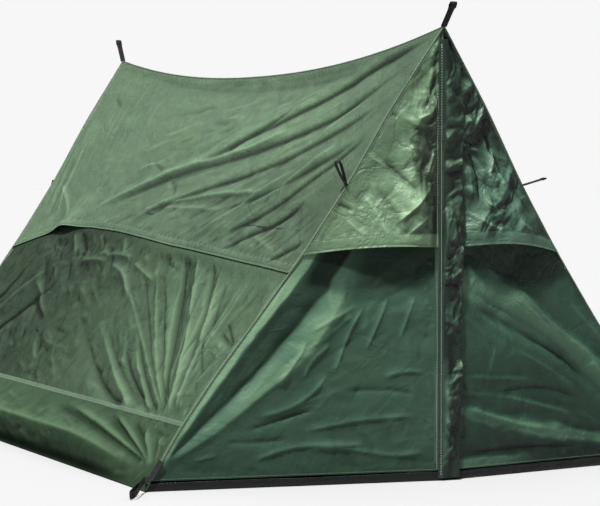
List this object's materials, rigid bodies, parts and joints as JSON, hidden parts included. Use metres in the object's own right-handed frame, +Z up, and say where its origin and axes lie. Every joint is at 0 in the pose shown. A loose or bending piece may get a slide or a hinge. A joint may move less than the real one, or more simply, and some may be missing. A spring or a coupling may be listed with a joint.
{
  "type": "a-frame tent",
  "caption": "Low A-frame ridge tent in green coated fabric, with a centre-zip split door under a storm flap, vent hoods, a bathtub floor and telescopic end poles.",
  "frame": {"origin": "centre of the bounding box, on the ground", "axes": "+Z up; +Y along the ridge from the door end to the rear end; +X to the right as seen from outside the door"},
  "size_m": [1.611, 2.2288, 1.1389],
  "materials": {
    "canopy_fabric": "glossy coated polyester taffeta, army green",
    "tub_wall_fabric": "glossy coated polyester, darker green",
    "flap_fabric": "glossy coated polyester, creased",
    "floor_sheet": "black coated polyester",
    "insect_mesh": "fine black insect netting",
    "seam_binding": "folded green seam with double stitching",
    "webbing": "woven black nylon webbing",
    "zip_tape": "woven zip tape and facing",
    "zip_coil": "nylon coil",
    "zip_metal": "grey die-cast metal",
    "pole_tube": "satin anodised",
    "pole_plastic": "black moulded",
    "pole_rubber": "matt black"
  },
  "bodies": {
    "tent": {"roof_left": "canopy_fabric", "roof_right": "canopy_fabric", "wall_left": "canopy_fabric", "wall_right": "canopy_fabric", "vent_mesh_left": "insect_mesh", "vent_mesh_right": "insect_mesh", "tub_wall_left": "tub_wall_fabric", "tub_wall_right": "tub_wall_fabric", "tub_wall_rear": "tub_wall_fabric", "rear_lower_panel": "canopy_fabric", "rear_upper_panel": "canopy_fabric", "vent_mesh_rear": "insect_mesh", "groundsheet": "floor_sheet", "front_sill_left": "floor_sheet", "front_sill_right": "floor_sheet", "front_apex_gusset": "canopy_fabric", "storm_flap_head": "flap_fabric", "ridge_seam": "seam_binding", "corner_seam_front_left": "seam_binding", "corner_seam_front_right": "seam_binding", "corner_seam_rear_left": "seam_binding", "corner_seam_rear_right": "seam_binding", "apex_loop_front": "webbing", "apex_loop_rear": "webbing", "pull_out_loop_front_left": "webbing", "stake_loop_front_left": "webbing", "pull_out_loop_front_right": "webbing", "stake_loop_front_right": "webbing", "pull_out_loop_rear_left": "webbing", "stake_loop_rear_left": "webbing", "pull_out_loop_rear_right": "webbing", "stake_loop_rear_right": "webbing", "pole_cup_front": "webbing", "pole_front_foot": "pole_rubber", "pole_front_lower_tube": "pole_tube", "pole_cup_rear": "webbing", "pole_rear_foot": "pole_rubber", "pole_rear_lower_tube": "pole_tube"},
    "door_left": {"door_left_hood": "canopy_fabric", "door_left_lower": "canopy_fabric", "door_left_vent_mesh": "insect_mesh", "zip_tape_left": "zip_tape", "zip_coil": "zip_coil"},
    "door_right": {"door_right_hood": "canopy_fabric", "door_right_lower": "canopy_fabric", "door_right_vent_mesh": "insect_mesh", "zip_facing_right": "zip_tape"},
    "storm_flap": {"storm_flap": "flap_fabric"},
    "zip_slider": {"zip_slider": "zip_metal", "zip_pull": "zip_metal"},
    "pole_front_upper": {"pole_front_upper_tube": "pole_tube", "pole_front_tip": "pole_plastic"},
    "pole_front_lock": {"pole_front_lock_collar": "pole_plastic"},
    "pole_rear_upper": {"pole_rear_upper_tube": "pole_tube", "pole_rear_tip": "pole_plastic"},
    "pole_rear_lock": {"pole_rear_lock_collar": "pole_plastic"}
  },
  "joints": [
    {"name": "door_left_swing", "type": "hinge", "parent": "tent", "child": "door_left", "pos_m": [0, -1.0615, 1.07], "axis": [-0.5507, 0.0892, -0.8299], "range_deg": [0, 105]},
    {"name": "door_right_swing", "type": "hinge", "parent": "tent", "child": "door_right", "pos_m": [0, -1.0615, 1.07], "axis": [-0.5507, -0.0892, 0.8299], "range_deg": [0, 105]},
    {"name": "storm_flap_fold", "type": "hinge", "parent": "door_left", "child": "storm_flap", "pos_m": [-0.0125, -1.0634, 0.46], "axis": [0, 0, -1], "range_deg": [0, 110]},
    {"name": "zip_slide", "type": "slide", "parent": "door_left", "child": "zip_slider", "axis": [0, 0, 1], "range_m": [-0.235, 0.6]},
    {"name": "pole_front_telescope", "type": "slide", "parent": "tent", "child": "pole_front_upper", "axis": [0, 0, 1], "range_m": [-0.3, 0]},
    {"name": "pole_front_lock_turn", "type": "hinge", "parent": "tent", "child": "pole_front_lock", "pos_m": [0, -1.0315, 0.6], "axis": [0, 0, 1], "range_deg": [0, 120]},
    {"name": "pole_rear_telescope", "type": "slide", "parent": "tent", "child": "pole_rear_upper", "axis": [0, 0, 1], "range_m": [-0.3, 0]},
    {"name": "pole_rear_lock_turn", "type": "hinge", "parent": "tent", "child": "pole_rear_lock", "pos_m": [0, 1.0385, 0.6], "axis": [0, 0, 1], "range_deg": [0, 120]}
  ]
}
